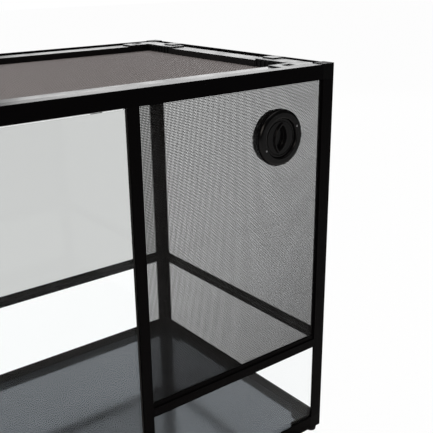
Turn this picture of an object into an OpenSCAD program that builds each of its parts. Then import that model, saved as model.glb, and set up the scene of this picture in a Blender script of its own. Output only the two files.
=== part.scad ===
// Front-opening terrarium in an angle-bar frame: clear walls, a mesh panel with a cable grommet,
// a hinged glass door and a lift-off screen lid.
// Millimetres. Z points up from the table, -Y is the front. The origin is the middle of the footprint.

/* [Overall] */
// Width over the side posts
width = 655; // [560:5:900]
// Depth over the front and back posts
depth = 450; // [360:5:600]
// Height from the table to the top edge of the rails
height = 600; // [460:5:900]

/* [Frame] */
// Face width of the posts and rails
angle_w = 20.5; // [18:0.5:26]
// Thickness of the angle bar
angle_t = 2; // [1.5:0.1:2.6]
// Height of the base rails
base_rail_h = 21.5; // [19:0.5:30]
// Height of the top edge of the mid rails above the table
mid_rail_top = 181.3; // [130:1:240]
// Height of the mid rail's face under the mesh panel
front_mid_h = 13.7; // [11:0.1:16]
// Face width of the front mullion
mullion_w = 15.3; // [14:0.1:20]
// Depth of the header from front to back
header_d = 17; // [16:0.5:22]
// Reach of the ledge that carries the lid, from the outer face
ledge_reach = 26; // [24:0.5:30]

/* [Corners] */
// Length of the corner piece's tongues, from the outer face
tongue_l = 59; // [45:1:75]
// Side of the square tongues
tongue_w = 8; // [7:0.1:8.2]
// How far a top corner stands above the rails
cap_proud = 0.8; // [0.2:0.1:2]
// How far the base corner's arms stand above the base rails
arm_step = 3; // [1:0.5:6]

/* [Panels] */
// Thickness of the clear wall panes
pane_t = 4; // [3:0.5:4.5]
// Thickness of the floor panel
floor_t = 3; // [2:0.5:4]
// Height of the feet
foot_h = 9; // [6:0.5:20]
// Radius of the feet
foot_r = 9; // [7:0.5:10]

/* [Mesh panel] */
// Width of the mesh panel's frame bars
bar_w = 9.5; // [8.5:0.1:11]
// Thickness of the mesh panel's frame
bar_t = 7; // [6:0.5:8]
// Width of the right bar that shows beside the post
bar_show = 1.4; // [0.5:0.1:6]
// Pitch of the mesh wires
mesh_pitch = 5; // [4:0.5:12]
// Radius of the mesh wires
wire_r = 0.4; // [0.25:0.05:0.6]

/* [Grommet] */
// Distance of the grommet's centre from the right face
grommet_in = 100; // [75:1:160]
// Distance of the grommet's centre below the top
grommet_down = 91; // [75:1:200]
// Outer radius of the grommet's flange
flange_r = 39; // [36:0.5:45]
// Height of the flange in front of the mesh
flange_h = 8; // [6:0.5:9]
// Radius of the recess that holds the turning cap
recess_r = 27; // [24:0.5:29]
// Length of the grip on the cap
grip_l = 42; // [34:1:46]
// Width of the grip on the cap
grip_w = 22; // [14:1:24]

/* [Door] */
// Thickness of the door glass
glass_t = 4; // [3:0.5:4.5]
// Distance of the door pivot from the left face
pivot_in = 30.5; // [30:0.5:36]
// Distance of the door pivot behind the front face
pivot_back = 7.6; // [7.4:0.1:8.4]
// Radius of the pivot pins
pin_r = 1.5; // [1.2:0.1:1.8]
// Height of the lock knob's axis above the table
lock_z = 112; // [90:1:150]
// How far the knob stands in front of the frame
knob_proud = 14; // [10:0.5:20]
// Radius of the knob
knob_r = 11; // [8:0.5:12]

/* [Lid] */
// Distance of the lid's outer edge from the outer faces
lid_inset = 17.5; // [17.3:0.1:20]
// Depth of the lid's rails below the rim
lid_drop = 2; // [1:0.5:4]
// Height of the lid's rails
lid_h = 12.5; // [11:0.5:15]
// Width of the lid's rails
lid_rail_w = 29.5; // [24:0.5:34]
// Length of a lid corner along the front and back
lid_corner_x = 65; // [50:1:90]
// Length of a lid corner along the sides
lid_corner_y = 97.5; // [80:0.5:110]
// Width of the lid corners' arms
lid_arm_w = 28; // [24:0.5:33]
// Length of the lugs that stand out over the gutter
lug_l = 24; // [16:1:30]
// Reach of the lugs over the gutter
lug_reach = 6.5; // [4:0.5:12]

/* [Hidden] */

$fn = 48;
// Gap between pieces that sit together
fit = 0.1;
// Gap between a piece and its seat
seat = 0.3;
// Radial play of a pin in its bore
play = 0.05;

half_w = width / 2;
// Rounding of the bars' outer edges
edge_r = 0.5;
frame_black = [0.05, 0.05, 0.055];
plastic_black = [0.09, 0.09, 0.095];
clear = [0.78, 0.84, 0.84, 0.35];
mesh_grey = [0.2, 0.2, 0.2];
steel = [0.7, 0.7, 0.72];

// Levels of the frame
base_z = foot_h;
base_top = base_z + base_rail_h;
floor_top = base_z + angle_t + floor_t;
rail_bottom = height - angle_w;
lid_bottom = height - lid_drop - lid_h;
ledge_top = lid_bottom - seat;
ledge_bottom = ledge_top - angle_t;
mid_bottom = mid_rail_top - angle_w;
mid_web = (mid_rail_top + mid_bottom) / 2;
front_mid_top = mid_bottom + front_mid_h;

// Insets from the outer faces
pane_in = angle_t;
pane_edge = angle_t + tongue_w + 0.5;
arm_in = pane_in + pane_t + seat;
arm_t = 3;
tongue_end = angle_t + tongue_w;

// Feet
foot_web = 3;
foot_bore_r = 4.6;
foot_screw_r = 2;

// Mesh panel
panel_y = angle_t + fit;
panel_left = mullion_w / 2 + 1.2 - bar_w;
panel_right = half_w - angle_w - bar_show + bar_w;
panel_bottom = mid_rail_top - bar_w;
panel_top = rail_bottom + bar_w - 1;
rebate = bar_w - 4;
mesh_y = panel_y + 2 + fit + wire_r;
spline_t = bar_t - 2 - 4 * wire_r - 5 * fit;

// Header
pocket_top = panel_top + seat;

// Grommet
grommet_x = half_w - grommet_in;
grommet_z = height - grommet_down;
barrel_r = 31;
grommet_back = mesh_y - wire_r - fit;

// Door
stem_back = angle_t + bar_t;
glass_y = 1.5;
pivot_x = -half_w + pivot_in;
glass_left = -half_w + angle_w + 1.5;
seal_w = 2.3;
seal_right = -mullion_w / 2 - 1.1;
glass_right = seal_right - 1;
lip_t = 0.8;
glass_bottom = base_top + 1.5;
glass_top = rail_bottom - 1.5;
clamp_left = glass_left + 0.6;
clamp_l = 29.4;
clamp_right = clamp_left + clamp_l;
clamp_screw_in = 6;
clamp_screw_r = 2.6;
clamp_head = 1.2;
clamp_h = 26;
clamp_lip = 1.2;
clamp_y0 = 0.1;
clamp_y1 = pivot_back + pin_r + 1.8;
pin_out = 9;
pin_in = 12;
lock_in = 23;
lock_x = -mullion_w / 2 - lock_in;
lock_barrel_r = 6;
spindle_r = 3;
cam_l = 26.5;
cam_y = stem_back + 0.6;
cam_t = 2.4;

// Lid
lid_x = half_w - lid_inset;
lid_front = lid_inset;
lid_back = depth - lid_inset;
lid_top = height - lid_drop;
lid_rebate_h = 2.9;
lid_rebate_w = 9;
lid_chamfer = 2 * (angle_w - lid_inset) + 1;
lug_shift = 16;
lug_y = [lid_corner_y - lug_l, lid_corner_y - lug_l - lug_shift];
lug_top = height + 1.5;
lug_t = 5;
rib_w = 3;
rib_t = 1.2;
rib_pitch = 9;
rib_bottom = lid_bottom + lid_rebate_h + 1;
pocket_deep = 2;
pocket_in = 6;
pocket_end = 14;
pocket_out = 5;
pocket_back = 9;
lid_mesh_z = lid_bottom + lid_rebate_h - fit - wire_r;

// The footprint, knob included, is centred on the origin.
module in_row() translate([0, (knob_proud - depth) / 2, 0]) children();

// A corner's own frame: origin at the outer corner, X and Y pointing inwards.
module at_corner(right, back)
    translate([right ? half_w : -half_w, back ? depth : 0, 0])
        rotate(right ? (back ? 180 : 90) : (back ? -90 : 0))
            if (right == back) children();
            else mirror([1, -1, 0]) children();

module at_all_corners()
    for (right = [false, true], back = [false, true]) at_corner(right, back) children();

// A profile drawn as (distance inwards, height), run along a side wall or a front or back wall.
module along_side(right, y0, y1)
    mirror([right ? 1 : 0, 0, 0]) translate([-half_w, y1, 0]) rotate([90, 0, 0])
        linear_extrude(y1 - y0) children();

module along_width(back, x0, x1)
    translate([x0, back ? depth : 0, 0]) mirror([0, back ? 1 : 0, 0]) rotate([90, 0, 90])
        linear_extrude(x1 - x0) children();

// Turned parts that lie along Y, drawn as (radius, distance forwards).
module turned_y(x, y, z) translate([x, y, z]) rotate([90, 0, 0]) rotate_extrude() children();

module rod_y(x, y0, y1, z, r) translate([x, y1, z]) rotate([90, 0, 0]) cylinder(h = y1 - y0, r = r);

module box(x0, x1, y0, y1, z0, z1) translate([x0, y0, z0]) cube([x1 - x0, y1 - y0, z1 - z0]);

// Takes a radius r off the corner of a profile at (0, 0).
module soften(r) difference() {
    children();
    difference() {
        translate([-1, -1]) square(r + 1);
        translate([r, r]) circle(r);
    }
}

function angle_points(a, b, t) = [[0, 0], [a, 0], [a, t], [t, t], [t, b], [0, b]];

// ---- Frame ----

module post(right, back) color(frame_black) in_row() at_corner(right, back)
    translate([0, 0, base_top]) linear_extrude(rail_bottom - base_top)
        soften(edge_r) polygon(angle_points(angle_w, angle_w, angle_t));

module post_front_left() post(false, false);
module post_front_right() post(true, false);
module post_back_left() post(false, true);
module post_back_right() post(true, true);

module mullion() color(frame_black) in_row() {
    box(-mullion_w / 2, mullion_w / 2, 0, angle_t, base_top, rail_bottom);
    difference() {
        box(-mullion_w / 2, panel_left - fit, angle_t - 0.5, stem_back, floor_top, pocket_top);
        box(-mullion_w, mullion_w, -1, angle_t + fit, floor_top - 1, base_top);
        box(-mullion_w, mullion_w, -1, angle_t + fit, rail_bottom, pocket_top + 1);
        box(-mullion_w / 2 + 1.6, panel_left - fit - 1.6, angle_t, stem_back - 1.6,
            floor_top - 1, pocket_top + 1);
    }
}

module header_profile() {
    difference() {
        union() {
            translate([0, rail_bottom]) square([angle_t, angle_w]);
            translate([0, pocket_top]) square([header_d, height - pocket_top]);
            translate([header_d - angle_t, ledge_bottom]) square([angle_t, height - ledge_bottom]);
            translate([header_d - angle_t, ledge_bottom])
                square([ledge_reach - header_d + angle_t, angle_t]);
        }
        translate([angle_t, pocket_top + angle_t])
            square([header_d - 2 * angle_t, height - pocket_top - 2 * angle_t]);
        difference() {
            translate([-1, height - edge_r]) square([1 + edge_r, 1 + edge_r]);
            translate([edge_r, height - edge_r]) circle(edge_r);
        }
    }
}

module header_rail() color(frame_black) in_row()
    along_width(false, -half_w + angle_w, half_w - angle_w) header_profile();

// Outer wall and lid ledge; the gutter between them and the lid stays open.
module top_rail_profile() {
    translate([0, rail_bottom]) square([angle_t, angle_w]);
    translate([0, ledge_bottom]) square([ledge_reach, angle_t]);
}

module top_rail_side(right) color(frame_black) in_row() difference() {
    along_side(right, angle_w, depth - angle_w) top_rail_profile();
    for (y = [angle_w - 1, depth - ledge_reach - fit])
        mirror([right ? 1 : 0, 0, 0])
            box(-half_w + angle_t, -half_w + ledge_reach + 1, y, y + ledge_reach - angle_w + 1 + fit,
                ledge_bottom - 1, ledge_top + 1);
}

module top_rail_left() top_rail_side(false);
module top_rail_right() top_rail_side(true);

module top_rail_back() color(frame_black) in_row()
    along_width(true, -half_w + angle_w, half_w - angle_w) top_rail_profile();

// Face strip with a web that keeps the upper and lower panes apart.
module mid_rail_profile() {
    translate([0, mid_bottom]) square([angle_t, angle_w]);
    translate([0, mid_web - 1]) square([pane_in + pane_t + 0.4, 2]);
}

module mid_rail_left() color(frame_black) in_row()
    along_side(false, angle_w, depth - angle_w) mid_rail_profile();
module mid_rail_right() color(frame_black) in_row()
    along_side(true, angle_w, depth - angle_w) mid_rail_profile();
module mid_rail_back() color(frame_black) in_row()
    along_width(true, -half_w + angle_w, half_w - angle_w) mid_rail_profile();

module mid_rail_front() color(frame_black) in_row() {
    along_width(false, mullion_w / 2, half_w - angle_w)
        translate([0, mid_bottom]) square([angle_t, front_mid_h]);
    along_width(false, panel_left, half_w - pane_edge)
        translate([angle_t, panel_bottom - fit - 2]) square([bar_t, 2]);
}

module base_rail_profile()
    translate([0, base_z]) polygon(angle_points(angle_w, base_rail_h, angle_t));

module base_rail_front() color(frame_black) in_row()
    along_width(false, -half_w + angle_w, half_w - angle_w) base_rail_profile();
module base_rail_back() color(frame_black) in_row()
    along_width(true, -half_w + angle_w, half_w - angle_w) base_rail_profile();
module base_rail_left() color(frame_black) in_row()
    along_side(false, angle_w, depth - angle_w) base_rail_profile();
module base_rail_right() color(frame_black) in_row()
    along_side(true, angle_w, depth - angle_w) base_rail_profile();

// ---- Corner pieces ----

module corner_skin(z0, z1) translate([0, 0, z0]) linear_extrude(z1 - z0)
    soften(edge_r) polygon(angle_points(angle_w, angle_w, angle_t));

module top_corner(back) {
    corner_skin(rail_bottom, height);
    // cap
    translate([0, 0, height - angle_t]) linear_extrude(angle_t + cap_proud)
        soften(edge_r) square(angle_w);
    // tongue down the post
    translate([angle_t, angle_t, height - tongue_l]) cube([tongue_w, tongue_w, tongue_l - 1]);
    // tongue in the side rail's gutter
    box(angle_t, tongue_end, angle_t, tongue_l, ledge_top + fit, ledge_top + tongue_w);
    if (back) {
        // tongue in the back rail's gutter
        box(angle_t, tongue_l, angle_t, tongue_end, ledge_top + fit, ledge_top + tongue_w);
    } else {
        // plug in the header's hollow
        box(angle_t, tongue_l, angle_t + fit, header_d - angle_t - fit,
            pocket_top + angle_t + fit, height - angle_t - fit);
    }
}

module top_corners() color(plastic_black) in_row()
    for (right = [false, true], back = [false, true]) at_corner(right, back) top_corner(back);

module base_corner(front_arm) {
    corner_skin(base_z, base_top);
    difference() {
        translate([0, 0, base_z]) linear_extrude(angle_t) soften(edge_r) square(angle_w);
        translate([angle_w / 2, angle_w / 2, base_z - 1]) cylinder(h = angle_t + 2, r = foot_screw_r + fit);
    }
    // tongue up the post
    translate([angle_t, angle_t, floor_top + fit])
        cube([tongue_w, tongue_w, tongue_l - floor_top + base_z]);
    // arms that clamp the panes against the rails
    box(arm_in, arm_in + arm_t, angle_t + 1, tongue_l, floor_top + fit, base_top + arm_step);
    if (front_arm)
        box(angle_t + 1, tongue_l, arm_in, arm_in + arm_t, floor_top + fit, base_top + arm_step);
}

// The door bay has no pane, so its corner has no arm along the front.
module base_corners() color(plastic_black) in_row()
    for (right = [false, true], back = [false, true]) at_corner(right, back)
        base_corner(right || back);

// ---- Floor and feet ----

module floor_panel() color(plastic_black) in_row()
    box(-half_w + angle_t + seat, half_w - angle_t - seat, angle_t + seat, depth - angle_t - seat,
        base_z + angle_t, floor_top);

module at_feet() at_all_corners() translate([angle_w / 2, angle_w / 2, 0]) children();

module feet() color(plastic_black) in_row() at_feet() difference() {
    union() {
        cylinder(h = foot_h - 2, r1 = foot_r - 1, r2 = foot_r);
        translate([0, 0, foot_h - 2]) cylinder(h = 2, r = foot_r);
    }
    translate([0, 0, -1]) cylinder(h = foot_h - foot_web + 1, r = foot_bore_r);
    translate([0, 0, -1]) cylinder(h = foot_h + 2, r = foot_screw_r + fit);
}

module foot_screws() color(steel) in_row() at_feet() {
    translate([0, 0, foot_h - foot_web - 2.4]) cylinder(h = 2.4, r = foot_bore_r - 0.6);
    translate([0, 0, foot_h - foot_web - 1]) cylinder(h = foot_web + 1 + angle_t, r = foot_screw_r);
}

// ---- Wall panes ----

module side_pane(right, z0, z1) color(clear) in_row() mirror([right ? 1 : 0, 0, 0])
    box(-half_w + pane_in, -half_w + pane_in + pane_t, pane_edge, depth - pane_edge, z0, z1);

module cross_pane(back, x0, x1, z0, z1) color(clear) in_row()
    translate([0, back ? depth : 0, 0]) mirror([0, back ? 1 : 0, 0])
        box(x0, x1, pane_in, pane_in + pane_t, z0, z1);

upper_z = [mid_web + 1, ledge_bottom - seat];
lower_z = [floor_top, mid_web - 1];

module upper_pane_left() side_pane(false, upper_z[0], upper_z[1]);
module upper_pane_right() side_pane(true, upper_z[0], upper_z[1]);
module upper_pane_back() cross_pane(true, -half_w + pane_edge, half_w - pane_edge, upper_z[0], upper_z[1]);
module lower_pane_left() side_pane(false, lower_z[0], lower_z[1]);
module lower_pane_right() side_pane(true, lower_z[0], lower_z[1]);
module lower_pane_back() cross_pane(true, -half_w + pane_edge, half_w - pane_edge, lower_z[0], lower_z[1]);
module lower_pane_front()
    cross_pane(false, panel_left, half_w - pane_edge, lower_z[0], panel_bottom - fit - 2);

// ---- Mesh panel ----

module frame_ring(w, y0, y1) difference() {
    box(panel_left, panel_right, y0, y1, panel_bottom, panel_top);
    box(panel_left + w, panel_right - w, y0 - 1, y1 + 1, panel_bottom + w, panel_top - w);
}

module mesh_panel_frame() color(frame_black) in_row() {
    frame_ring(bar_w, panel_y, panel_y + 2);
    frame_ring(bar_w - rebate, panel_y + 2, panel_y + bar_t);
}

// Half the length of the chord that a circle of radius r cuts at distance d from its centre.
function half_chord(r, d) = abs(d) < r ? sqrt(r * r - d * d) : 0;

module wire_z(x, z0, z1, y) translate([x, y, z0]) cylinder(h = z1 - z0, r = wire_r, $fn = 16);
module wire_x(x0, x1, z, y) translate([x0, y, z]) rotate([0, 90, 0])
    cylinder(h = x1 - x0, r = wire_r, $fn = 16);

module mesh_panel_mesh() color(mesh_grey) in_row() {
    x0 = panel_left + bar_w - rebate + 0.5;
    x1 = panel_right - bar_w + rebate - 0.5;
    z0 = panel_bottom + bar_w - rebate + 0.5;
    z1 = panel_top - bar_w + rebate - 0.5;
    hole = barrel_r + seat + wire_r;
    front_y = mesh_y;
    rear_y = mesh_y + 2 * wire_r + fit;
    for (x = [x0 + 2 : mesh_pitch : x1 - 1]) {
        c = half_chord(hole, x - grommet_x);
        if (c == 0) wire_z(x, z0, z1, front_y);
        else {
            wire_z(x, z0, grommet_z - c, front_y);
            wire_z(x, grommet_z + c, z1, front_y);
        }
    }
    for (z = [z0 + 2 : mesh_pitch : z1 - 1]) {
        c = half_chord(hole, z - grommet_z);
        if (c == 0) wire_x(x0, x1, z, rear_y);
        else {
            wire_x(x0, grommet_x - c, z, rear_y);
            wire_x(grommet_x + c, x1, z, rear_y);
        }
    }
}

module mesh_panel_spline() color(plastic_black) in_row() {
    edge = bar_w - rebate + fit;
    y0 = mesh_y + 3 * wire_r + 2 * fit;
    difference() {
        box(panel_left + edge, panel_right - edge, y0, y0 + spline_t, panel_bottom + edge, panel_top - edge);
        box(panel_left + edge + 3, panel_right - edge - 3, y0 - 1, y0 + spline_t + 1,
            panel_bottom + edge + 3, panel_top - edge - 3);
    }
}

// ---- Cable grommet ----

cap_seat = 2.5;
cap_face = 4.5;
cap_t = cap_face - cap_seat - seat;
skirt_l = 8;
skirt_t = 1.6;
bore_r = recess_r - 3;
barrel_l = 11;
bead_r = 5;
lip_r = 2;
screw_ring = recess_r + lip_r + 1.6;
grommet_face = grommet_back - flange_h;

// Flange with a rolled rim and a lip round the recess, and the threaded barrel behind it.
module grommet_ring() color(plastic_black) in_row() difference() {
    turned_y(grommet_x, grommet_back, grommet_z) difference() {
        union() {
            square([flange_r, flange_h]);
            translate([0, -barrel_l]) square([barrel_r, barrel_l]);
        }
        translate([-1, cap_seat]) square([recess_r + 1, flange_h]);
        // rounded rim
        difference() {
            translate([flange_r - bead_r, flange_h - bead_r]) square(bead_r + 1);
            translate([flange_r - bead_r, flange_h - bead_r]) circle(bead_r);
        }
        // rounded lip
        difference() {
            translate([recess_r - 1, flange_h - lip_r]) square([1 + lip_r, lip_r + 1]);
            translate([recess_r + lip_r, flange_h - lip_r]) circle(lip_r);
        }
        translate([-1, -barrel_l - 1]) square([bore_r + 1, barrel_l + cap_seat + 2]);
        translate([-flange_r, -barrel_l - 1]) square([flange_r, barrel_l + flange_h + 2]);
    }
    at_grommet_screws() rod_y(0, grommet_face - 1, grommet_face + screw_l, 0, screw_shank);
}

nut_wall = 6;
nut_r = barrel_r + nut_wall;
nut_grip_r = 2.2;
nut_grip_out = 1.2;
nut_grips = 12;

module grommet_nut() color(plastic_black) in_row() difference() {
    rod_y(grommet_x, mesh_y + 3 * wire_r + 2 * fit, grommet_back + barrel_l - 1, grommet_z, nut_r);
    rod_y(grommet_x, 0, grommet_back + barrel_l, grommet_z, barrel_r + fit);
    for (a = [0 : 360 / nut_grips : 359]) translate([grommet_x, 0, grommet_z]) rotate([0, a, 0])
        rod_y(nut_r + nut_grip_out, 0, grommet_back + barrel_l, 0, nut_grip_r);
}

// Outline between two arcs, l long and w wide.
module lens(l, w) {
    r = (l * l + w * w) / (4 * w);
    intersection() {
        translate([r - w / 2, 0]) circle(r, $fn = 96);
        translate([w / 2 - r, 0]) circle(r, $fn = 96);
    }
}

grip_tilt = 9;

grip_wall = 1.6;
grip_rise = 2.6;
well_d = 4;
groove_w = 1.2;

// Turning cap: a skirted disc with a lens-shaped finger well, whose wall stands proud as the grip.
module grommet_cap() color(plastic_black) in_row()
    translate([grommet_x, grommet_back, grommet_z]) rotate([90, 0, 0]) difference() {
        union() {
            difference() {
                translate([0, 0, cap_face - cap_t]) cylinder(h = cap_t, r = recess_r - 0.4);
                // ring groove
                translate([0, 0, cap_face - 0.8]) difference() {
                    cylinder(h = cap_t, r = recess_r - 3);
                    translate([0, 0, -1]) cylinder(h = cap_t + 2, r = recess_r - 3 - groove_w);
                }
            }
            // skirt that keeps the cap in the ring's bore
            translate([0, 0, cap_seat - skirt_l]) difference() {
                cylinder(h = skirt_l + 1, r = bore_r - 0.4);
                translate([0, 0, -1]) cylinder(h = skirt_l + 1, r = bore_r - 0.4 - skirt_t);
            }
            rotate(-grip_tilt) translate([0, 0, cap_face - well_d - grip_wall])
                linear_extrude(well_d + grip_wall + grip_rise) lens(grip_l, grip_w);
        }
        rotate(-grip_tilt) translate([0, 0, cap_face - well_d])
            linear_extrude(well_d + flange_h) lens(grip_l - 4 * grip_wall, grip_w - 2 * grip_wall);
    }

screw_turn = 26;
screw_head_r = 1.3;
screw_head_h = 0.7;
screw_seat = 0.3;
screw_shank = 0.8;
screw_l = 4;

module at_grommet_screws() for (a = [screw_turn, screw_turn + 180])
    translate([grommet_x + screw_ring * cos(a), 0, grommet_z + screw_ring * sin(a)]) children();

module grommet_screws() color(steel) in_row() at_grommet_screws() {
    rod_y(0, grommet_face - screw_head_h, grommet_face, 0, screw_head_r);
    rod_y(0, grommet_face - screw_seat, grommet_face + screw_l, 0, screw_shank);
}

// ---- Door ----

// Blocks in the header's pocket and behind the base rail, bored for the pivot pins.
bush_w = 12;
past = 1;

module hinge_bush(z0, z1) difference() {
    box(pivot_x - bush_w / 2, pivot_x + bush_w / 2, angle_t + fit, header_d - angle_t - fit, z0, z1);
    translate([pivot_x, pivot_back, z0 - past]) cylinder(h = z1 - z0 + 2 * past, r = pin_r + play);
}

module hinge_bushes() color(plastic_black) in_row() {
    hinge_bush(glass_top + clamp_lip + seat, pocket_top);
    hinge_bush(floor_top, glass_bottom - clamp_lip - seat);
}

module door_glass() color(clear) in_row() difference() {
    box(glass_left, glass_right, glass_y, glass_y + glass_t, glass_bottom, glass_top);
    rod_y(lock_x, glass_y - past, glass_y + glass_t + past, lock_z, lock_barrel_r + fit);
}

// A channel closed at its lower end, with the pin's hole in its thick back wall.
module hinge_clamp() difference() {
    box(clamp_left, clamp_right, clamp_y0, clamp_y1, -clamp_lip, clamp_h);
    box(clamp_left - 1, clamp_right + 1, glass_y - fit, glass_y + glass_t + fit, -fit, clamp_h + 1);
    translate([pivot_x, pivot_back, -clamp_lip - 1]) cylinder(h = pin_in + clamp_lip + 1, r = pin_r);
}

module at_hinges() {
    translate([0, 0, glass_bottom]) children();
    translate([0, 0, glass_top]) mirror([0, 0, 1]) children();
}

module hinge_clamps() color(plastic_black) in_row() at_hinges() hinge_clamp();

module hinge_pins() color(steel) in_row() at_hinges()
    translate([pivot_x, pivot_back, -pin_out]) cylinder(h = pin_out + pin_in, r = pin_r);

module clamp_screws() color(steel) in_row() at_hinges() for (z = [clamp_screw_in, clamp_h - clamp_screw_in])
    rod_y(clamp_right - clamp_screw_in, clamp_y0 - clamp_head, clamp_y0, z, clamp_screw_r);

// A lip on the front of the glass and a cap over its edge.
module door_edge_seal() color(plastic_black) in_row() {
    box(seal_right - seal_w, seal_right, glass_y - fit - lip_t, glass_y - fit, glass_bottom, glass_top);
    box(glass_right + fit, seal_right, glass_y - fit - lip_t, glass_y + glass_t, glass_bottom, glass_top);
}

catch_w = 16;
catch_in = 4;
catch_back = 14;
catch_plate_t = 0.8;
catch_plate_z = glass_bottom + 2;
catch_plate_h = 10;

module catch_plate() color(steel) in_row()
    box(glass_right - catch_in - catch_w, glass_right - catch_in, glass_y + glass_t,
        glass_y + glass_t + catch_plate_t, catch_plate_z, catch_plate_z + catch_plate_h);

module door_catch() color(plastic_black) in_row()
    box(glass_right - catch_in - catch_w, glass_right - catch_in,
        glass_y + glass_t + catch_plate_t + seat, catch_back, floor_top, catch_plate_z + catch_plate_h);

module lock_bush() color(plastic_black) in_row() difference() {
    union() {
        rod_y(lock_x, -0.6, glass_y, lock_z, lock_barrel_r + 4);
        rod_y(lock_x, -0.6, cam_y - 0.3, lock_z, lock_barrel_r);
    }
    rod_y(lock_x, -1, cam_y + 1, lock_z, spindle_r + play);
}

lock_nut_wall = 4;
lock_nut_gap = 0.5;

module lock_nut() color(steel) in_row() difference() {
    translate([lock_x, cam_y - lock_nut_gap, lock_z]) rotate([90, 0, 0])
        cylinder(h = cam_y - lock_nut_gap - glass_y - glass_t, r = lock_barrel_r + lock_nut_wall, $fn = 6);
    rod_y(lock_x, 0, cam_y + 1, lock_z, lock_barrel_r + fit);
}

module lock_knob() color(plastic_black) in_row() {
    difference() {
        rod_y(lock_x, -knob_proud, -0.6 - seat, lock_z, knob_r);
        for (s = [-1, 1]) translate([lock_x + s * (knob_r + 1), -knob_proud / 2 - 3, lock_z])
            rotate([90, 0, 0]) cylinder(h = knob_proud, r = knob_r - 3, center = true);
    }
    rod_y(lock_x, -2, cam_y + cam_t, lock_z, spindle_r);
}

cam_r = 7;
cam_w = 10;

module lock_cam() color(steel) in_row() difference() {
    union() {
        rod_y(lock_x, cam_y, cam_y + cam_t, lock_z, cam_r);
        box(lock_x - cam_w / 2, lock_x + cam_w / 2, cam_y, cam_y + cam_t, lock_z, lock_z + cam_l);
    }
    rod_y(lock_x, 0, depth / 2, lock_z, spindle_r + play);
}

cam_screw_h = 1.8;
cam_screw_r = 4.5;

module lock_screw() color(steel) in_row()
    rod_y(lock_x, cam_y + cam_t, cam_y + cam_t + cam_screw_h, lock_z, cam_screw_r);

// ---- Lid ----

lid_wall = 1.5;

module lid_rail_profile() difference() {
    translate([0, lid_bottom]) square([lid_rail_w, lid_h]);
    translate([lid_rail_w - lid_rebate_w, lid_bottom - 1]) square([lid_rebate_w + 1, lid_rebate_h + 1]);
    translate([lid_wall, lid_bottom + lid_rebate_h + lid_wall])
        square([lid_rail_w - 2 * lid_wall, lid_h - lid_rebate_h - 2 * lid_wall]);
}

lid_colour = [0.07, 0.07, 0.075];

module lid_cross(back) color(lid_colour) in_row()
    translate([-lid_x + lid_corner_x + fit, back ? lid_back : lid_front, 0])
        mirror([0, back ? 1 : 0, 0]) rotate([90, 0, 90])
            linear_extrude(2 * (lid_x - lid_corner_x - fit)) lid_rail_profile();

module lid_side(right) color(lid_colour) in_row() mirror([right ? 1 : 0, 0, 0])
    translate([-lid_x, lid_back - lid_corner_y - fit, 0]) rotate([90, 0, 0])
        linear_extrude(lid_back - lid_front - 2 * (lid_corner_y + fit)) lid_rail_profile();

module lid_rail_front() lid_cross(false);
module lid_rail_back() lid_cross(true);
module lid_rail_left() lid_side(false);
module lid_rail_right() lid_side(true);

module lid_corner(back) translate([lid_inset, lid_inset, 0]) {
        difference() {
            union() {
                box(0, lid_corner_x, 0, lid_arm_w, lid_bottom, height);
                box(0, lid_arm_w, 0, lid_corner_y, lid_bottom, height);
            }
            // clearance for the frame's cap
            translate([0, 0, lid_bottom - 1]) linear_extrude(height - lid_bottom + 2)
                polygon([[-1, -1], [lid_chamfer + 1, -1], [-1, lid_chamfer + 1]]);
            // rebate for the mesh
            box(lid_rail_w - lid_rebate_w, lid_corner_x + 1, lid_rail_w - lid_rebate_w, lid_corner_y + 1,
                lid_bottom - 1, lid_bottom + lid_rebate_h);
            // moulded pocket in the top of the short arm
            box(lid_arm_w + pocket_in, lid_corner_x - pocket_end, pocket_out, lid_arm_w - pocket_back,
                height - pocket_deep, height + 1);
        }
        // lug out over the gutter
        box(-lug_reach, lid_arm_w / 2, lug_y[back ? 1 : 0], lug_y[back ? 1 : 0] + lug_l,
            lug_top - lug_t, lug_top);
        // ribs down the inner faces
        for (i = [0 : floor((lid_corner_y - lid_arm_w - 2 * rib_w) / rib_pitch)])
            box(lid_arm_w - 1, lid_arm_w + rib_t, lid_arm_w + rib_w + i * rib_pitch,
                lid_arm_w + 2 * rib_w + i * rib_pitch, rib_bottom, height - 1.5);
        for (i = [0 : floor((lid_corner_x - lid_arm_w - 2 * rib_w) / rib_pitch)])
            box(lid_arm_w + rib_w + i * rib_pitch, lid_arm_w + 2 * rib_w + i * rib_pitch,
                lid_arm_w - 1, lid_arm_w + rib_t, rib_bottom, height - 1.5);
    }

module lid_corners() color(plastic_black) in_row()
    for (right = [false, true], back = [false, true]) at_corner(right, back) lid_corner(back);

module lid_mesh() color(mesh_grey) in_row() {
    x1 = lid_x - lid_rail_w + lid_rebate_w - 1;
    y0 = lid_front + lid_rail_w - lid_rebate_w + 1;
    y1 = lid_back - lid_rail_w + lid_rebate_w - 1;
    for (y = [y0 + 1 : mesh_pitch : y1 - 1]) wire_x(-x1, x1, lid_mesh_z, y);
    for (x = [-x1 + 1 : mesh_pitch : x1 - 1])
        translate([x, y1, lid_mesh_z - 2 * wire_r - fit / 2]) rotate([90, 0, 0])
            cylinder(h = y1 - y0, r = wire_r, $fn = 16);
}

module lid_spline() color(plastic_black) in_row() difference() {
    x1 = lid_x - lid_rail_w + lid_rebate_w - fit;
    y0 = lid_front + lid_rail_w - lid_rebate_w + fit;
    y1 = lid_back - lid_rail_w + lid_rebate_w - fit;
    box(-x1, x1, y0, y1, lid_bottom, lid_bottom + 1);
    box(-x1 + 4, x1 - 4, y0 + 4, y1 - 4, lid_bottom - 1, lid_bottom + 2);
}

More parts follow.
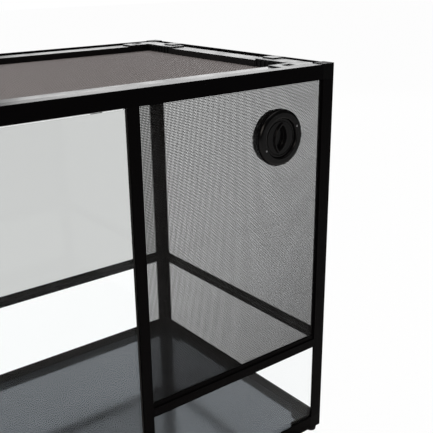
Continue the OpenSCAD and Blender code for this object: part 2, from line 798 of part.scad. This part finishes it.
post_front_left();
post_front_right();
post_back_left();
post_back_right();
mullion();
header_rail();
top_rail_left();
top_rail_right();
top_rail_back();
mid_rail_front();
mid_rail_left();
mid_rail_right();
mid_rail_back();
base_rail_front();
base_rail_left();
base_rail_right();
base_rail_back();
top_corners();
base_corners();
floor_panel();
feet();
foot_screws();
upper_pane_left();
upper_pane_right();
upper_pane_back();
lower_pane_left();
lower_pane_right();
lower_pane_back();
lower_pane_front();
mesh_panel_frame();
mesh_panel_mesh();
mesh_panel_spline();
grommet_ring();
grommet_nut();
grommet_screws();
grommet_cap();
hinge_bushes();
door_catch();
door_glass();
hinge_clamps();
hinge_pins();
clamp_screws();
door_edge_seal();
catch_plate();
lock_bush();
lock_nut();
lock_knob();
lock_cam();
lock_screw();
lid_rail_front();
lid_rail_back();
lid_rail_left();
lid_rail_right();
lid_corners();
lid_mesh();
lid_spline();
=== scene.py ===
"""Finishes, woven screens, fasteners and studio for the front-opening terrarium."""

import math

import bmesh
import bpy
from bpy.props import FloatProperty, FloatVectorProperty, PointerProperty
from mathutils import Matrix, Vector


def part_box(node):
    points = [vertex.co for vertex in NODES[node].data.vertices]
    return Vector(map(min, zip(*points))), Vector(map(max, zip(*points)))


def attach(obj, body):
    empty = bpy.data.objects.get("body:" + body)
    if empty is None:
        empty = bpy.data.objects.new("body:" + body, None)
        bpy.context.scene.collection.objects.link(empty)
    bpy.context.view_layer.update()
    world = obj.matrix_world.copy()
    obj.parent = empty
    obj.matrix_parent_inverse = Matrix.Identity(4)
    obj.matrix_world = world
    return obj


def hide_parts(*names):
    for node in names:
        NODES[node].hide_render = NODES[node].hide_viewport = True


bl_info = {
    "name": "Terrarium Finishes",
    "version": (1, 0, 0),
    "blender": (4, 5, 0),
    "location": "3D View > Sidebar > Terrarium",
    "description": "Dresses the terrarium's frame, panes and screens and sets up its studio",
    "category": "Object",
}

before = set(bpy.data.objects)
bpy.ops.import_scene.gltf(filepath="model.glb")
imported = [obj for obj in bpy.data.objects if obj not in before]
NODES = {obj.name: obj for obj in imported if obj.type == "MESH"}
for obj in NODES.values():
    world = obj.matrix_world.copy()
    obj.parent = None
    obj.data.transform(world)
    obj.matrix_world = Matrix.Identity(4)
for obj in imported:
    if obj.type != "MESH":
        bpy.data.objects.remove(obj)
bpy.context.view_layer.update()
MM = 0.001

COATED_BARS = [n for n in NODES if n.startswith(("post_", "mid_rail", "base_rail", "top_rail"))]
COATED_BARS += ["mullion", "mesh_panel_frame"]
LID_RAILS = [n for n in NODES if n.startswith("lid_rail")]
MOULDINGS = ["top_corners", "base_corners", "hinge_bushes", "door_catch", "hinge_clamps"]
GROMMET_PARTS = ["grommet_ring", "grommet_nut", "grommet_cap"]
LOCK_PLASTIC = ["lock_bush", "lock_knob"]
RUBBER_PARTS = ["feet", "door_edge_seal", "mesh_panel_spline", "lid_spline"]
PLATED_PARTS = ["hinge_pins", "catch_plate", "lock_nut", "lock_cam"]
CLEAR_PANES = [n for n in NODES if "_pane_" in n and n != "upper_pane_back"]

# doubled vertices closer than this, in metres, are one vertex
WELD = 0.00001
# edges that turn by more than this are rounded
SHARP_ANGLE = math.radians(50)
# radius, in millimetres, of the opening that the panel's screen leaves for the grommet's barrel
HOLE_MM = 33
# section of a wire: across and up, in wire radii
SECTION = [(1, -0.5), (0, 1), (-1, -0.5)]
# how far a wire swings over and under the plane of the cloth, in wire radii
SWING = 1.02

# sides of a round screw, and its shank as a share of the head's radius
SIDES = 32
SHANK = 0.5
# length and width of the cross recess's arms, as shares of the head's radius
ARM_LENGTH, ARM_WIDTH = 0.55, 0.13
# the first screw's cross recess is turned by so many degrees, and each next one by so many more
FIRST_TURN, NEXT_TURN = 17, 41
# piece, CAD node it stands for, way its heads face, height of the heads in millimetres, body
SCREWS = [
    ("clamp_pan_heads", "clamp_screws", (0, -1, 0), 1.2, "door"),
    ("foot_pan_heads", "foot_screws", (0, 0, -1), 2.4, "enclosure"),
    ("grommet_pan_heads", "grommet_screws", (0, -1, 0), 0.7, "enclosure"),
    ("cam_pan_head", "lock_screw", (0, 1, 0), 1.8, "lock"),
]

# half the side of the studio's floor, in metres, and the share of its white that is a plain glow
FLOOR_REACH = 12.0
FLOOR_GLOW = 0.97
# light, place, target, width and depth in metres, setting that holds its power, colour
SOFTBOXES = [
    ("overhead_softbox", (0.1, 0.1, 2.4), (0, 0, 0.3), 2.4, 2.0, "key_power", "#FFF9F6"),
    ("back_softbox", (2.4, 2.4, 1.25), (0, 0, 0.6), 3.0, 1.3, "rim_power", "#FFFFFF"),
    ("front_softbox", (-1.2, -1.15, 1.4), (0.1, -0.2, 0.3), 0.9, 0.9, "front_power", "#FFF4E8"),
]
# the surround fades from its front strength to its back strength between these, from -1 front to 1 back
FADE = (-0.2, 0.6)
# camera: place in metres, and degrees turned to the right of +Y, tipped down and rolled
CAMERA_PLACE = (-0.42341, -0.91883, 0.73167)
CAMERA_TURN = (37.643, 19.328, 0.787)
# width of its sensor in millimetres, and the nearest and farthest it sees in metres
SENSOR_MM = 36
NEAR, FAR = 0.02, 60


# ---- Colour and node helpers ----


def linear(hex_code):
    """A colour written as sRGB hex, as the opaque linear colour that shaders use."""
    channels = [int(hex_code[i : i + 2], 16) / 255 for i in (1, 3, 5)]
    return (*[c / 12.92 if c <= 0.04045 else ((c + 0.055) / 1.055) ** 2.4 for c in channels], 1.0)


def add(tree, kind, links=None, **settings):
    """Adds one shader node. Keys that name a socket set it, others set a property; links feeds sockets."""
    made = tree.nodes.new(kind)
    for key, value in settings.items():
        if hasattr(made, key):
            setattr(made, key, value)
        else:
            made.inputs[key.replace("_", " ")].default_value = value
    for key, source in (links or {}).items():
        tree.links.new(source, made.inputs[key])
    return made


def new_material(name, hex_code, roughness, **sockets):
    """A named material and its Principled shader, with constants on the shader's own sockets."""
    material = bpy.data.materials.new(name)
    material.use_nodes = True
    shader = material.node_tree.nodes["Principled BSDF"]
    shader.inputs["Base Color"].default_value = linear(hex_code)
    shader.inputs["Roughness"].default_value = roughness
    for key, value in sockets.items():
        shader.inputs[key.replace("_", " ")].default_value = value
    return material, material.node_tree, shader


def grain(tree, shader, grain_mm, bump_mm, detail=2.0):
    """Surface grain of a real size in millimetres, as bump. Gives the coordinates it lies on."""
    place = add(tree, "ShaderNodeTexCoord")
    noise = add(
        tree,
        "ShaderNodeTexNoise",
        {"Vector": place.outputs["Object"]},
        Scale=1 / (grain_mm * MM),
        Detail=detail,
        Roughness=0.55,
    )
    bump = add(
        tree,
        "ShaderNodeBump",
        {"Height": noise.outputs["Fac"]},
        Distance=bump_mm * MM,
        Strength=1.0,
    )
    tree.links.new(bump.outputs["Normal"], shader.inputs["Normal"])
    return place


def vary_roughness(tree, shader, place, patch_mm, low, high):
    """Soft patches of handling and dust, patch_mm across, that move the roughness from low to high."""
    patches = add(
        tree,
        "ShaderNodeTexNoise",
        {"Vector": place.outputs["Object"]},
        Scale=1 / (patch_mm * MM),
        Detail=3.0,
    )
    spread = add(
        tree,
        "ShaderNodeMapRange",
        {"Value": patches.outputs["Fac"]},
        From_Min=0.3,
        From_Max=0.7,
        To_Min=low,
        To_Max=high,
    )
    tree.links.new(spread.outputs["Result"], shader.inputs["Roughness"])
    return patches


def vary_colour(tree, shader, patches, hex_low, hex_high):
    """The same patches shift the colour a little."""
    mix = add(tree, "ShaderNodeMix", data_type="RGBA")
    tree.links.new(patches.outputs["Fac"], mix.inputs["Factor"])
    sockets = [s for s in mix.inputs if s.type == "RGBA"]
    sockets[0].default_value = linear(hex_low)
    sockets[1].default_value = linear(hex_high)
    result = [s for s in mix.outputs if s.type == "RGBA"][0]
    tree.links.new(result, shader.inputs["Base Color"])


def wear(tree, shader, place, patch_mm, low, high, hex_low, hex_high):
    """Soft patches, patch_mm across, that move both the roughness and the colour."""
    patches = vary_roughness(tree, shader, place, patch_mm, low, high)
    vary_colour(tree, shader, patches, hex_low, hex_high)


def seen_directly(tree):
    """1 for rays from the camera, straight or through glass, and 0 for the rays that light things."""
    path = add(tree, "ShaderNodeLightPath")
    rays = {0: path.outputs["Is Camera Ray"], 1: path.outputs["Is Transmission Ray"]}
    return add(tree, "ShaderNodeMath", rays, operation="MAXIMUM").outputs[0]


# ---- Materials ----


def powder_coated_aluminium():
    """Satin powder coat: baked polyester, a faint orange peel that softens long highlights."""
    material, tree, shader = new_material("powder_coated_aluminium", "#060506", 0.4)
    shader.inputs["Specular IOR Level"].default_value = FINISH["frame_gloss"]
    place = grain(tree, shader, 1.4, 0.012)
    wear(tree, shader, place, 55, 0.36, 0.46, "#050405", "#080708")
    return material


def smooth_powder_coat():
    """The header's powder coat: the same black, rubbed smoother, so its top strip is a clear bright line."""
    material, tree, shader = new_material("smooth_powder_coated_header", "#050405", 0.24)
    shader.inputs["Specular IOR Level"].default_value = FINISH["frame_gloss"]
    place = grain(tree, shader, 1.4, 0.006)
    wear(tree, shader, place, 55, 0.2, 0.28, "#040304", "#060506")
    return material


def semi_gloss_lid_rail():
    """Semi-gloss coat on the lid's extruded rails: smoother than the frame, so its tops pick up the light."""
    material, tree, shader = new_material("semi_gloss_lid_rail", "#0D0C0D", 0.3)
    shader.inputs["Specular IOR Level"].default_value = 0.14
    place = grain(tree, shader, 1.2, 0.008)
    wear(tree, shader, place, 40, 0.26, 0.36, "#0B0A0B", "#121112")
    return material


def moulded_abs():
    """Injection-moulded ABS: a fine spark-eroded grain, as black and as dull as the bars it joins."""
    material, tree, shader = new_material("moulded_black_abs", "#060606", 0.5)
    shader.inputs["Specular IOR Level"].default_value = 0.05
    place = grain(tree, shader, 0.7, 0.02, 4.0)
    wear(tree, shader, place, 18, 0.44, 0.56, "#050505", "#090909")
    return material


def semi_gloss_abs():
    """Semi-gloss ABS on the lid's corners: smooth tops that shine like the rails beside them."""
    material, tree, shader = new_material("semi_gloss_black_abs", "#0C0C0D", 0.32)
    shader.inputs["Specular IOR Level"].default_value = 0.14
    place = grain(tree, shader, 0.9, 0.008, 3.0)
    wear(tree, shader, place, 16, 0.27, 0.38, "#0A0A0B", "#111112")
    return material


def polished_abs():
    """ABS from a polished mould: the grommet and knob, with clear rolling highlights on their edges."""
    material, tree, shader = new_material("polished_black_abs", "#080809", 0.22)
    shader.inputs["Specular IOR Level"].default_value = 0.17
    place = grain(tree, shader, 0.9, 0.006, 3.0)
    wear(tree, shader, place, 12, 0.18, 0.28, "#070708", "#0B0B0C")
    return material


def gloss_pvc_floor():
    """Gloss calendered PVC sheet: nearly a mirror at a low angle, a little blue, with faint wipe marks."""
    material, tree, shader = new_material("gloss_pvc_floor", "#2E3236", 0.12, IOR=1.95)
    shader.inputs["Specular Tint"].default_value = linear("#DDE8F4")
    place = grain(tree, shader, 60, 0.02)
    vary_roughness(tree, shader, place, 70, 0.09, 0.16)
    return material


def float_glass(name, hex_code):
    """Float glass: smooth and clear, with the sheet's own tint."""
    return new_material(name, hex_code, 0.0, Transmission_Weight=1.0, IOR=FINISH["glass_ior"])[0]


def woven_wire(name, hex_low, hex_high, gloss):
    """Woven wire with a thin smooth skin, dark against the light. The lid's copy is given a light grey colour
    that is painted light, standing in for the light from above.
    """
    material, tree, shader = new_material(name, hex_low, 0.4)
    shader.inputs["Specular IOR Level"].default_value = gloss
    place = grain(tree, shader, 0.8, 0.01)
    wear(tree, shader, place, 30, 0.34, 0.48, hex_low, hex_high)
    return material


def zinc_plated_steel():
    """Zinc-plated steel: bright, slightly cloudy plating with fine turning marks."""
    material, tree, shader = new_material("zinc_plated_steel", "#B9BABC", 0.32, Metallic=1.0)
    place = grain(tree, shader, 0.35, 0.004, 3.0)
    wear(tree, shader, place, 6, 0.26, 0.42, "#A9AAAD", "#C6C7C9")
    return material


def epdm_rubber():
    """EPDM rubber: extruded, dead matt with a dusty bloom."""
    material, tree, shader = new_material("extruded_epdm_rubber", "#0E0E0E", 0.75)
    shader.inputs["Specular IOR Level"].default_value = 0.3
    place = grain(tree, shader, 0.5, 0.02, 4.0)
    wear(tree, shader, place, 20, 0.68, 0.85, "#0B0B0B", "#141413")
    return material


MAKERS = {
    "frame": powder_coated_aluminium,
    "header": smooth_powder_coat,
    "lid_rail": semi_gloss_lid_rail,
    "moulding": moulded_abs,
    "lid_corner": semi_gloss_abs,
    "polished": polished_abs,
    "floor": gloss_pvc_floor,
    "clear": lambda: float_glass("clear_float_glass", "#FEFFFF"),
    "door": lambda: float_glass("toughened_door_glass", "#FEFFFF"),
    "tinted": lambda: float_glass("grey_tinted_back_pane", "#CCCDCC"),
    "panel_wire": lambda: woven_wire("vinyl_dipped_panel_wire", "#100F0F", "#171515", 0.2),
    # the lid's wire is the same dark wire as the panel's, coloured light grey as painted light from above
    "lid_wire": lambda: woven_wire("anodised_lid_wire", "#6D6969", "#7A7576", 0.5),
    "plated": zinc_plated_steel,
    "rubber": epdm_rubber,
}
# the sidebar's settings that the materials use, and the materials made so far
FINISH = {}
MATERIALS = {}


def material(name):
    """The material of that name in MAKERS, made at its first use."""
    if not FINISH:
        settings = bpy.context.scene.terrarium_finish
        FINISH.update(frame_gloss=settings.frame_gloss, glass_ior=settings.glass_ior)
    if name not in MATERIALS:
        MATERIALS[name] = MAKERS[name]()
    return MATERIALS[name]


def dress(names, finish, soften_mm=0.0):
    """Gives CAD nodes a finish, and rounds their edges by soften_mm."""
    for name in names:
        part = NODES[name]
        part.data.materials.clear()
        part.data.materials.append(material(finish))
        if soften_mm:
            weld = part.modifiers.new("join_edges", "WELD")
            weld.merge_threshold = WELD
            bevel = part.modifiers.new("soften_edges", "BEVEL")
            bevel.width = soften_mm * MM
            bevel.segments = 2
            bevel.limit_method = "ANGLE"
            bevel.angle_limit = SHARP_ANGLE
            bevel.harden_normals = True


def new_piece(name, mesh, finish, body, replaced=()):
    """Puts a finished mesh in the scene, on its body and in its material slot."""
    piece = bpy.data.objects.new(name, mesh)
    bpy.context.scene.collection.objects.link(piece)
    mesh.materials.append(material(finish))
    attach(piece, body)
    if replaced:
        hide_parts(*replaced)


# ---- Woven screens ----


def wire_run(verts, faces, points, across, up, radius):
    """Adds one wire of three-sided section along points; across and up span its section."""
    first, sides = len(verts), len(SECTION)
    for point in points:
        verts.extend(point + radius * (a * across + b * up) for a, b in SECTION)
    for ring in range(first, len(verts) - sides, sides):
        for i in range(sides):
            j = (i + 1) % sides
            faces.append((ring + i, ring + j, ring + sides + j, ring + sides + i))
    faces.append(tuple(range(first + sides - 1, first - 1, -1)))
    faces.append(tuple(range(len(verts) - sides, len(verts))))


def wires(corner, u, v, width, height, pitch, radius, hole=None):
    """The wires along u of a woven cloth on the plane of u and v. hole is (u, v, radius) left open."""
    normal = u.cross(v)
    verts, faces = [], []
    stops, lines = int(width / pitch), int(height / pitch)
    start, side = (width - stops * pitch) / 2, (height - lines * pitch) / 2
    swing = radius * SWING
    for line in range(lines + 1):
        across = side + line * pitch
        run = []
        for stop in range(stops + 1):
            at = start + stop * pitch
            if hole and math.hypot(at - hole[0], across - hole[1]) < hole[2]:
                if len(run) > 1:
                    wire_run(verts, faces, run, v, normal, radius)
                run = []
                continue
            lift = swing * (1 if (line + stop) % 2 else -1)
            run.append(corner + at * u + across * v + lift * normal)
        if len(run) > 1:
            wire_run(verts, faces, run, v, normal, radius)
    mesh = bpy.data.meshes.new("wires")
    mesh.from_pydata(verts, [], faces)
    mesh.shade_smooth()
    return mesh


# ---- Fasteners ----


def pan_head(radius, height, shank_radius, shank_length):
    """A pan-head screw along +Z: domed head with a cross recess, and its shank below."""
    bm = bmesh.new()
    profile = [(0.0, -shank_length)]
    profile += [(shank_radius * 0.7, -shank_length), (shank_radius, -shank_length + shank_radius * 0.4)]
    profile += [(shank_radius, 0.0), (radius, 0.0), (radius, height * 0.35)]
    for i in range(1, 6):
        angle = math.pi / 2 * i / 5
        profile.append((radius * math.cos(angle) ** 0.8, height * (0.35 + 0.65 * math.sin(angle))))
    profile[-1] = (0.0, height)
    rings = []
    for r, z in profile:
        if r < 1e-9:
            rings.append([bm.verts.new((0, 0, z))])
        else:
            angles = [2 * math.pi * i / SIDES for i in range(SIDES)]
            rings.append([bm.verts.new((r * math.cos(a), r * math.sin(a), z)) for a in angles])
    for first, second in zip(rings, rings[1:]):
        for i in range(SIDES):
            j = (i + 1) % SIDES
            lower = (first[i % len(first)], first[j % len(first)])
            upper = (second[j % len(second)], second[i % len(second)])
            corners = list(dict.fromkeys(lower + upper))
            if len(corners) > 2:
                bm.faces.new(corners)
    bmesh.ops.recalc_face_normals(bm, faces=bm.faces)
    mesh = bpy.data.meshes.new("pan_head")
    bm.to_mesh(mesh)
    bm.free()
    cross = bmesh.new()
    arm, slot = radius * ARM_LENGTH, radius * ARM_WIDTH
    for length, width in ((arm, slot), (slot, arm)):
        box = Matrix.Translation((0, 0, height)) @ Matrix.Diagonal((2 * length, 2 * width, height * 1.1, 1))
        bmesh.ops.create_cube(cross, size=1, matrix=box)
    tool_mesh = bpy.data.meshes.new("cross")
    cross.to_mesh(tool_mesh)
    cross.free()
    return cut(mesh, tool_mesh)


def cut(mesh, tool_mesh):
    """mesh with tool_mesh taken away."""
    body = bpy.data.objects.new("cut_body", mesh)
    tool = bpy.data.objects.new("cut_tool", tool_mesh)
    for part in (body, tool):
        bpy.context.scene.collection.objects.link(part)
    boolean = body.modifiers.new("cut", "BOOLEAN")
    boolean.operation = "DIFFERENCE"
    boolean.object = tool
    boolean.use_self = True
    bpy.context.view_layer.update()
    result = bpy.data.meshes.new_from_object(body.evaluated_get(bpy.context.evaluated_depsgraph_get()))
    for part in (body, tool):
        bpy.data.objects.remove(part)
    return result


def islands(node):
    """The box of each separate solid of a CAD node, as (low, high)."""
    bm = bmesh.new()
    bm.from_mesh(NODES[node].data)
    bmesh.ops.remove_doubles(bm, verts=bm.verts, dist=WELD)
    left, boxes = set(bm.verts), []
    while left:
        grown, edge = set(), [left.pop()]
        while edge:
            vert = edge.pop()
            grown.add(vert)
            for link in vert.link_edges:
                other = link.other_vert(vert)
                if other in left:
                    left.discard(other)
                    edge.append(other)
        low = Vector([min(v.co[i] for v in grown) for i in range(3)])
        high = Vector([max(v.co[i] for v in grown) for i in range(3)])
        boxes.append((low, high))
    bm.free()
    return sorted(boxes, key=lambda b: tuple(round(c, 4) for c in b[0]))


def place_screws(name, node, direction, head_mm, body):
    """Replaces the plain screws of a CAD node, heads towards direction, by pan heads of the same size."""
    axis = Vector(direction)
    along = max(range(3), key=lambda i: abs(axis[i]))
    across = (along + 1) % 3
    turn = Vector((0, 0, 1)).rotation_difference(axis).to_matrix().to_4x4()
    head = head_mm * MM
    joined = bmesh.new()
    for index, (low, high) in enumerate(islands(node)):
        radius = (high[across] - low[across]) / 2
        length = high[along] - low[along]
        centre = (low + high) / 2
        top = centre + axis * length / 2
        mesh = pan_head(radius, head, radius * SHANK, length - head)
        spin = Matrix.Rotation(math.radians(FIRST_TURN + NEXT_TURN * index), 4, "Z")
        mesh.transform(Matrix.Translation(top - axis * head) @ turn @ spin)
        joined.from_mesh(mesh)
    mesh = bpy.data.meshes.new(name)
    joined.to_mesh(mesh)
    joined.free()
    new_piece(name, mesh, "plated", body, (node,))


# ---- Settings ----


class TerrariumFinish(bpy.types.PropertyGroup):
    """Sizes and sheens of the finishes."""

    frame_gloss: FloatProperty(
        name="Frame gloss", description="Specular level of the powder coat", default=0.03, min=0, max=1
    )
    glass_ior: FloatProperty(
        name="Glass IOR", description="Refraction of the panes", default=1.2, min=1, max=2
    )
    panel_pitch: FloatProperty(
        name="Panel pitch",
        description="Distance between the front screen's wires, coarser than real so that it shows",
        default=1.93 * MM,
        subtype="DISTANCE",
        unit="LENGTH",
        precision=4,
    )
    lid_pitch: FloatProperty(
        name="Lid pitch",
        description="Distance between the lid screen's wires, coarser than real so that it shows",
        default=2.7 * MM,
        subtype="DISTANCE",
        unit="LENGTH",
        precision=4,
    )
    wire_share: FloatProperty(
        name="Wire share",
        description="Wire diameter as a share of the pitch",
        default=0.445,
        min=0.1,
        max=0.6,
        subtype="FACTOR",
    )
    edge_radius: FloatProperty(
        name="Edge radius",
        description="Rounding of bars and mouldings, in millimetres",
        default=0.35,
        min=0,
    )


class TerrariumStudio(bpy.types.PropertyGroup):
    """Light, floor and camera."""

    lens: FloatProperty(
        name="Lens", description="Focal length", default=59.78, subtype="DISTANCE_CAMERA"
    )
    key_power: FloatProperty(
        name="Top light", description="Power of the overhead softbox", default=26, unit="POWER"
    )
    rim_power: FloatProperty(
        name="Back light", description="Power of the softbox behind", default=22, unit="POWER"
    )
    front_power: FloatProperty(
        name="Front light", description="Power of the softbox in front", default=15, unit="POWER"
    )
    fill: FloatProperty(
        name="Fill", description="Strength of the room's light from behind", default=0.95, min=0
    )
    front: FloatProperty(
        name="Front fill", description="Strength of the room's light in front", default=0.05, min=0
    )
    floor_colour: FloatVectorProperty(
        name="Floor",
        description="Colour of the floor",
        default=linear("#F4F4F4")[:3],
        size=3,
        subtype="COLOR",
    )


# ---- Operators ----


class TERRARIUM_OT_coated_frame(bpy.types.Operator):
    """Powder coat on every bar of the frame"""

    bl_idname = "terrarium.coated_frame"
    bl_label = "Coated Frame"

    def execute(self, context):
        soften = context.scene.terrarium_finish.edge_radius
        dress(COATED_BARS, "frame", soften)
        dress(["header_rail"], "header", soften)
        return {"FINISHED"}


class TERRARIUM_OT_mouldings(bpy.types.Operator):
    """Moulded corner pieces, hinge blocks and catch"""

    bl_idname = "terrarium.mouldings"
    bl_label = "Mouldings"

    def execute(self, context):
        dress(MOULDINGS, "moulding", context.scene.terrarium_finish.edge_radius)
        return {"FINISHED"}


class TERRARIUM_OT_panes(bpy.types.Operator):
    """Clear walls, the tinted back wall and the gloss floor"""

    bl_idname = "terrarium.panes"
    bl_label = "Panes and Floor"

    def execute(self, context):
        dress(CLEAR_PANES, "clear")
        dress(["upper_pane_back"], "tinted")
        dress(["door_glass"], "door")
        dress(["floor_panel"], "floor")
        return {"FINISHED"}


class TERRARIUM_OT_screens(bpy.types.Operator):
    """Woven wire cloth in the front panel and the lid"""

    bl_idname = "terrarium.screens"
    bl_label = "Woven Screens"

    def execute(self, context):
        settings = context.scene.terrarium_finish
        x, y, z = Vector((1, 0, 0)), Vector((0, 1, 0)), Vector((0, 0, 1))

        pitch = settings.panel_pitch
        radius = pitch * settings.wire_share / 2
        low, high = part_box("mesh_panel_mesh")
        ring_low, ring_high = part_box("grommet_ring")
        middle = (ring_low + ring_high) / 2 - low
        size = high - low
        corner = low + y * size.y / 2
        opening = HOLE_MM * MM
        cross = wires(corner, x, z, size.x, size.z, pitch, radius, (middle.x, middle.z, opening))
        new_piece("panel_cross_wires", cross, "panel_wire", "enclosure", ("mesh_panel_mesh",))
        upright = wires(corner, z, x, size.z, size.x, pitch, radius, (middle.z, middle.x, opening))
        new_piece("panel_upright_wires", upright, "panel_wire", "enclosure")

        pitch = settings.lid_pitch
        radius = pitch * settings.wire_share / 2
        low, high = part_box("lid_mesh")
        size = high - low
        corner = low + z * size.z / 2
        long = wires(corner, x, y, size.x, size.y, pitch, radius)
        new_piece("lid_long_wires", long, "lid_wire", "lid", ("lid_mesh",))
        short = wires(corner, y, x, size.y, size.x, pitch, radius)
        new_piece("lid_short_wires", short, "lid_wire", "lid")
        return {"FINISHED"}


class TERRARIUM_OT_grommet(bpy.types.Operator):
    """Cable grommet: ring, nut and turning cap"""

    bl_idname = "terrarium.grommet"
    bl_label = "Cable Grommet"

    def execute(self, context):
        dress(GROMMET_PARTS, "polished", context.scene.terrarium_finish.edge_radius)
        return {"FINISHED"}


class TERRARIUM_OT_door_fittings(bpy.types.Operator):
    """Knob, lock, pins and seals"""

    bl_idname = "terrarium.door_fittings"
    bl_label = "Door Fittings"

    def execute(self, context):
        soften = context.scene.terrarium_finish.edge_radius
        dress(LOCK_PLASTIC, "polished", soften)
        dress(PLATED_PARTS, "plated", soften / 2)
        dress(RUBBER_PARTS, "rubber", soften / 2)
        return {"FINISHED"}


class TERRARIUM_OT_lid_rails(bpy.types.Operator):
    """Semi-gloss rails and corners of the lift-off lid"""

    bl_idname = "terrarium.lid_rails"
    bl_label = "Lid Rails"

    def execute(self, context):
        soften = context.scene.terrarium_finish.edge_radius
        dress(LID_RAILS, "lid_rail", soften)
        dress(["lid_corners"], "lid_corner", soften)
        return {"FINISHED"}


class TERRARIUM_OT_screws(bpy.types.Operator):
    """Pan-head screws with cross recesses"""

    bl_idname = "terrarium.screws"
    bl_label = "Screws"

    def execute(self, context):
        for screws in SCREWS:
            place_screws(*screws)
        return {"FINISHED"}


def softbox(name, place, target, width, depth, power, hex_code):
    """A soft area light that no camera sees."""
    data = bpy.data.lights.new(name, "AREA")
    data.shape = "RECTANGLE"
    data.size, data.size_y = width, depth
    data.energy = power
    data.color = linear(hex_code)[:3]
    lamp = bpy.data.objects.new(name, data)
    bpy.context.scene.collection.objects.link(lamp)
    lamp.location = place
    lamp.rotation_euler = (Vector(target) - Vector(place)).to_track_quat("-Z", "Y").to_euler()
    lamp.visible_camera = False
    lamp.visible_transmission = False


def surround(settings):
    """A room bright behind and dark in front, so that fronts stay black and tops shine; white to the eye."""
    world = bpy.data.worlds.new("studio_surround")
    bpy.context.scene.world = world
    world.use_nodes = True
    tree = world.node_tree
    background = tree.nodes["Background"]
    background.inputs["Color"].default_value = (1, 1, 1, 1)
    way = add(tree, "ShaderNodeTexCoord")
    parts = add(tree, "ShaderNodeSeparateXYZ", {"Vector": way.outputs["Generated"]})
    lit = add(
        tree,
        "ShaderNodeMapRange",
        {"Value": parts.outputs["Y"]},
        interpolation_type="SMOOTHSTEP",
        From_Min=FADE[0],
        From_Max=FADE[1],
        To_Min=settings.front,
        To_Max=settings.fill,
    )
    strength = add(tree, "ShaderNodeMix", {"Factor": seen_directly(tree)})
    tree.links.new(lit.outputs["Result"], strength.inputs["A"])
    strength.inputs["B"].default_value = 1.0
    tree.links.new(strength.outputs["Result"], background.inputs["Strength"])


def pale_paper_floor(colour):
    """White studio paper: takes a soft shadow, and glows to the eye so that it meets the white surround."""
    paper, tree, shader = new_material("pale_paper_floor", "#F4F4F4", 0.9)
    shader.inputs["Base Color"].default_value = (*colour, 1)
    shader.inputs["Specular IOR Level"].default_value = 0.0
    glow = add(tree, "ShaderNodeEmission", Strength=1.0)
    share = add(tree, "ShaderNodeMath", {0: seen_directly(tree)}, operation="MULTIPLY")
    share.inputs[1].default_value = FLOOR_GLOW
    mix = add(
        tree,
        "ShaderNodeMixShader",
        {0: share.outputs[0], 1: shader.outputs[0], 2: glow.outputs[0]},
    )
    tree.links.new(mix.outputs[0], tree.nodes["Material Output"].inputs["Surface"])
    return paper


def place_camera(lens):
    """The camera at its place, turned, tipped down and rolled."""
    data = bpy.data.cameras.new("camera")
    data.lens = lens
    data.sensor_width = SENSOR_MM
    data.clip_start, data.clip_end = NEAR, FAR
    camera = bpy.data.objects.new("camera", data)
    bpy.context.scene.collection.objects.link(camera)
    yaw, pitch, roll = (math.radians(a) for a in CAMERA_TURN)
    forward = Vector(
        (math.sin(yaw) * math.cos(pitch), math.cos(yaw) * math.cos(pitch), -math.sin(pitch))
    )
    level = Vector((math.cos(yaw), -math.sin(yaw), 0))
    down = forward.cross(level)
    right = math.cos(roll) * level + math.sin(roll) * down
    below = -math.sin(roll) * level + math.cos(roll) * down
    turn = Matrix((right, -below, -forward)).transposed().to_4x4()
    camera.matrix_world = Matrix.Translation(CAMERA_PLACE) @ turn
    bpy.context.scene.camera = camera


class TERRARIUM_OT_studio(bpy.types.Operator):
    """Pale floor, white surround, soft lights and the camera"""

    bl_idname = "terrarium.studio"
    bl_label = "Studio"

    def execute(self, context):
        scene = context.scene
        settings = scene.terrarium_studio
        scene.view_settings.view_transform = "Standard"
        surround(settings)

        floor_mesh = bpy.data.meshes.new("studio_floor")
        corners = [(x * FLOOR_REACH, y * FLOOR_REACH, 0) for x, y in ((-1, -1), (1, -1), (1, 1), (-1, 1))]
        floor_mesh.from_pydata(corners, [], [(0, 1, 2, 3)])
        floor_mesh.materials.append(pale_paper_floor(settings.floor_colour))
        floor = bpy.data.objects.new("studio_floor", floor_mesh)
        scene.collection.objects.link(floor)

        for name, place, target, width, depth, power, hex_code in SOFTBOXES:
            softbox(name, place, target, width, depth, getattr(settings, power), hex_code)
        place_camera(settings.lens)
        return {"FINISHED"}


class TERRARIUM_PT_finishes(bpy.types.Panel):
    """Lists the terrarium's finishing steps"""

    bl_label = "Terrarium"
    bl_space_type = "VIEW_3D"
    bl_region_type = "UI"
    bl_category = "Terrarium"

    def draw(self, context):
        layout = self.layout
        for step in STEPS:
            layout.operator(step.bl_idname)
        for settings in (context.scene.terrarium_finish, context.scene.terrarium_studio):
            for key in type(settings).__annotations__:
                layout.prop(settings, key)


STEPS = [
    TERRARIUM_OT_coated_frame,
    TERRARIUM_OT_mouldings,
    TERRARIUM_OT_panes,
    TERRARIUM_OT_screens,
    TERRARIUM_OT_grommet,
    TERRARIUM_OT_door_fittings,
    TERRARIUM_OT_lid_rails,
    TERRARIUM_OT_screws,
    TERRARIUM_OT_studio,
]
CLASSES = [TerrariumFinish, TerrariumStudio, *STEPS, TERRARIUM_PT_finishes]


def register():
    """Registers the classes and their settings."""
    for cls in CLASSES:
        bpy.utils.register_class(cls)
    bpy.types.Scene.terrarium_finish = PointerProperty(type=TerrariumFinish)
    bpy.types.Scene.terrarium_studio = PointerProperty(type=TerrariumStudio)


def unregister():
    """Removes what register added."""
    del bpy.types.Scene.terrarium_studio
    del bpy.types.Scene.terrarium_finish
    for cls in reversed(CLASSES):
        bpy.utils.unregister_class(cls)


def main():
    """Runs every step in order."""
    register()
    for step in STEPS:
        group, name = step.bl_idname.split(".")
        getattr(getattr(bpy.ops, group), name)()


if __name__ == "__main__":
    main()
